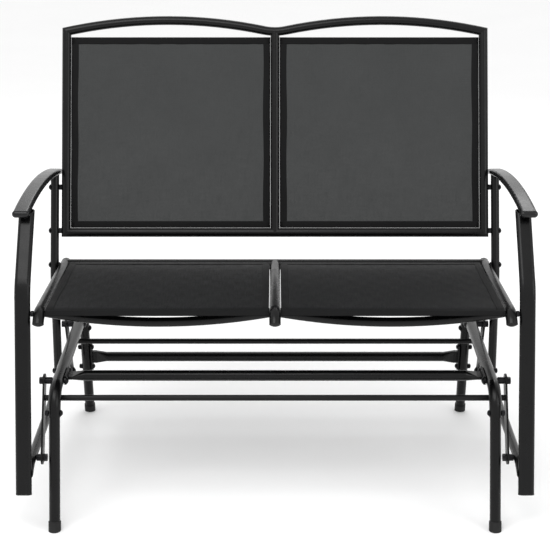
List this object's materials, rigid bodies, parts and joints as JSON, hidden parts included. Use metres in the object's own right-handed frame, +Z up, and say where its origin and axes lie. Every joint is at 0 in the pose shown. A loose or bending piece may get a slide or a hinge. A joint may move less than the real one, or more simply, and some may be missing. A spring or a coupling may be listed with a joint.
{
  "type": "glider bench",
  "caption": "Floor-standing glider bench: tube base, swinging links, fabric sling seat and back under a twin-arched top rail, and curved armrests.",
  "frame": {"origin": "middle of the footprint of the whole bench, on the floor under the feet", "axes": "+X across the bench to the sitter's left, which is the right as seen from the front; +Y from front to back; +Z up"},
  "size_m": [1.0472, 0.6396, 0.9406],
  "materials": {
    "frame_steel": "satin powder coat",
    "link_steel": "satin powder coat",
    "fasteners": "black coated steel",
    "armrest_plastic": "smooth satin",
    "cap_plastic": "fine moulded grain",
    "bush_plastic": "smooth moulded",
    "foot_rubber": "matt",
    "seat_fabric": "coated woven mesh, soft sheen",
    "back_fabric": "coated woven mesh with slubs"
  },
  "bodies": {
    "base": {"left_top_rail": "frame_steel", "right_top_rail": "frame_steel", "front_left_leg": "frame_steel", "front_right_leg": "frame_steel", "rear_left_leg": "frame_steel", "rear_right_leg": "frame_steel", "foot_caps": "foot_rubber", "front_crossbar": "frame_steel", "rear_crossbar": "frame_steel", "base_bolts": "fasteners", "base_nuts": "fasteners", "upper_pivot_bolts": "fasteners", "upper_pivot_nuts": "fasteners", "upper_pivot_spacers": "fasteners"},
    "front_links": {"front_left_link": "link_steel", "front_right_link": "link_steel", "front_tie_rod": "link_steel", "front_link_bushes": "bush_plastic"},
    "rear_links": {"rear_left_link": "link_steel", "rear_right_link": "link_steel", "rear_tie_rod": "link_steel", "rear_link_bushes": "bush_plastic"},
    "swing": {"left_arm_leg": "frame_steel", "right_arm_leg": "frame_steel", "arm_leg_plugs": "cap_plastic", "left_lower_rail": "frame_steel", "right_lower_rail": "frame_steel", "left_rear_post": "frame_steel", "right_rear_post": "frame_steel", "left_armrest": "armrest_plastic", "right_armrest": "armrest_plastic", "lower_rail_plugs": "cap_plastic", "lower_pivot_bolts": "fasteners", "lower_pivot_nuts": "fasteners", "lower_pivot_spacers": "fasteners", "seat_left_rail": "frame_steel", "seat_right_rail": "frame_steel", "seat_middle_rail": "frame_steel", "seat_rear_rail": "frame_steel", "seat_left_stretcher": "frame_steel", "seat_right_stretcher": "frame_steel", "seat_rail_caps": "cap_plastic", "back_left_tube": "frame_steel", "back_right_tube": "frame_steel", "back_middle_tube": "frame_steel", "back_top_rail": "frame_steel", "back_bottom_rail": "frame_steel", "frame_bolts": "fasteners", "frame_spacers": "fasteners", "threaded_inserts": "fasteners", "left_seat_sling": "seat_fabric", "right_seat_sling": "seat_fabric", "left_back_sling": "back_fabric", "right_back_sling": "back_fabric"}
  },
  "joints": [
    {"name": "front_link_swing", "type": "hinge", "parent": "base", "child": "front_links", "pos_m": [0, -0.18195, 0.27], "axis": [1, 0, 0], "range_deg": [-15, 15]},
    {"name": "rear_link_swing", "type": "hinge", "parent": "base", "child": "rear_links", "pos_m": [0, 0.15505, 0.27], "axis": [1, 0, 0], "range_deg": [-15, 15]},
    {"name": "seat_glide", "type": "hinge", "parent": "front_links", "child": "swing", "pos_m": [0, -0.24801, 0.13089], "axis": [1, 0, 0], "range_deg": [-11, 11]}
  ],
  "couplings": [
    {"joint": "rear_link_swing", "follows": "front_link_swing", "ratio": 1},
    {"joint": "seat_glide", "follows": "front_link_swing", "ratio": -0.7169}
  ]
}
